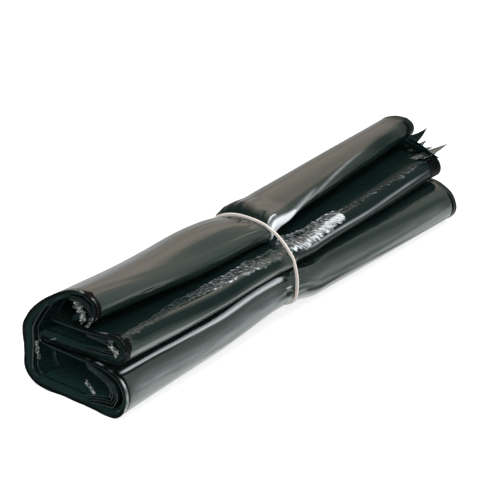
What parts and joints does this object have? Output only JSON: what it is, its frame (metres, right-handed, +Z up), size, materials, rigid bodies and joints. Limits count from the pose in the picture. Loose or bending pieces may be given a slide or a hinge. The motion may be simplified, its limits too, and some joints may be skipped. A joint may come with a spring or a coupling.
{
  "type": "bin bag roll",
  "caption": "Pack of flat-folded bin bags in glossy film, rolled into loose lobes with open ends and held round the waist by a narrow rubber band.",
  "frame": {"origin": "centre of the roll's bounding box at the height of the floor under its flat underside", "axes": "+X along the roll towards the end with the loose film corners, +Z up, -Y towards the front where the folds of the lobes show"},
  "size_m": [0.35, 0.088, 0.0832],
  "materials": {
    "film": "glossy polyethylene film, near black with a green tint",
    "band": "pale pinkish cream, satin"
  },
  "bodies": {
    "root": {"bag_roll": "film", "rubber_band": "band"}
  },
  "joints": []
}
